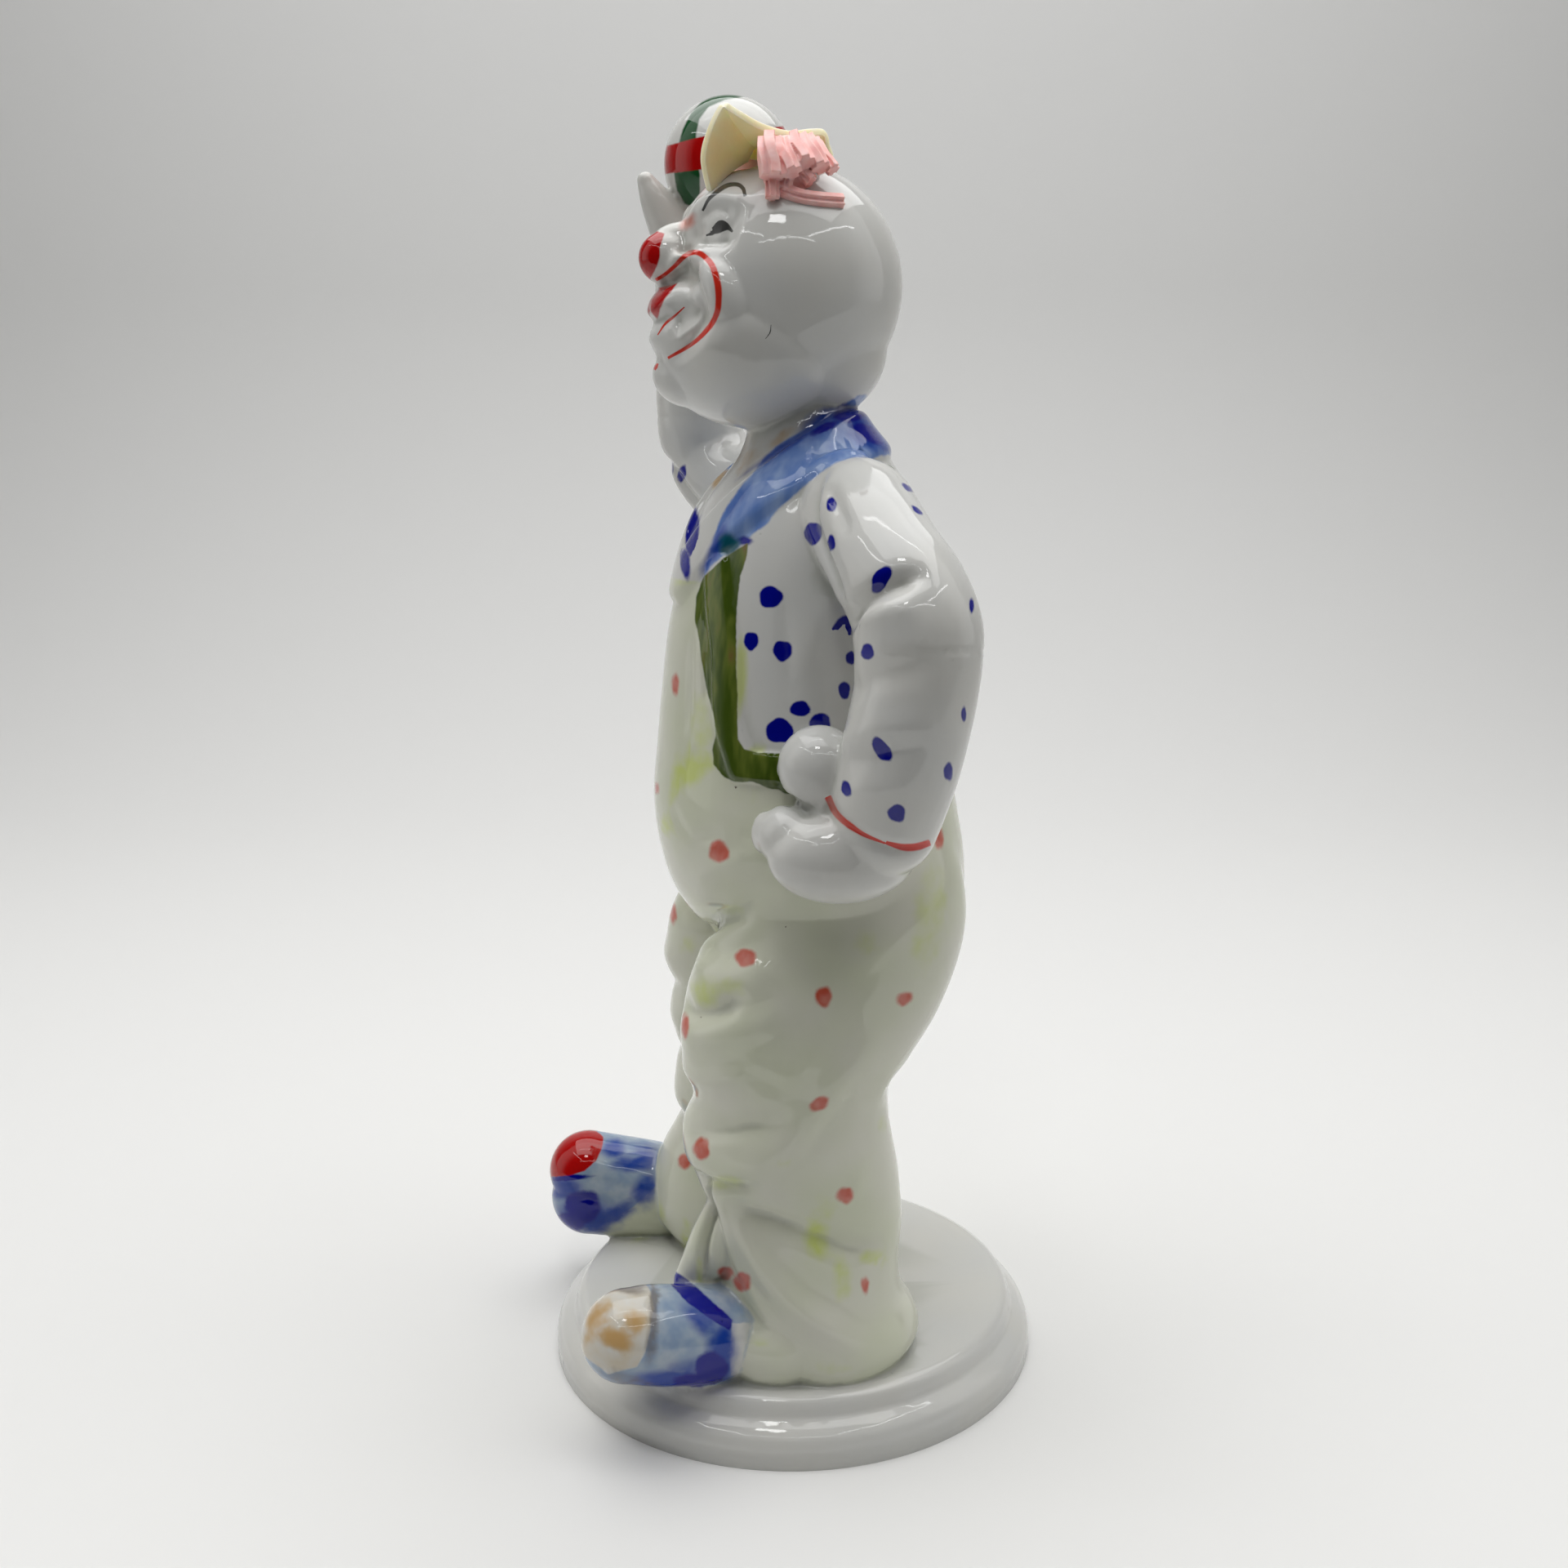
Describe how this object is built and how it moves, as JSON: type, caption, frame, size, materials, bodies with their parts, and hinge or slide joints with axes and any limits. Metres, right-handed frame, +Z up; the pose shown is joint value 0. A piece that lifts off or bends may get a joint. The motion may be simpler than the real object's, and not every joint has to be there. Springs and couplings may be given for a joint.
{
  "type": "clown figurine",
  "caption": "Glazed porcelain clown figurine on a round two-tier base, one hand on its hip, holding a striped ball up, with a clay hat and tufts of clay hair.",
  "frame": {"origin": "middle of the base's underside", "axes": "+Z up, the clown faces -Y, its own left side is at +X"},
  "size_m": [0.0838, 0.0803, 0.2035],
  "materials": {
    "glazed_porcelain": "clear glaze over hand-painted white porcelain",
    "hat_clay": "pale yellow coloured clay, unglazed",
    "hair_clay": "pink coloured clay, unglazed"
  },
  "bodies": {
    "root": {"figure": "glazed_porcelain", "hat": "hat_clay", "hair_left": "hair_clay", "hair_right": "hair_clay"}
  },
  "joints": []
}
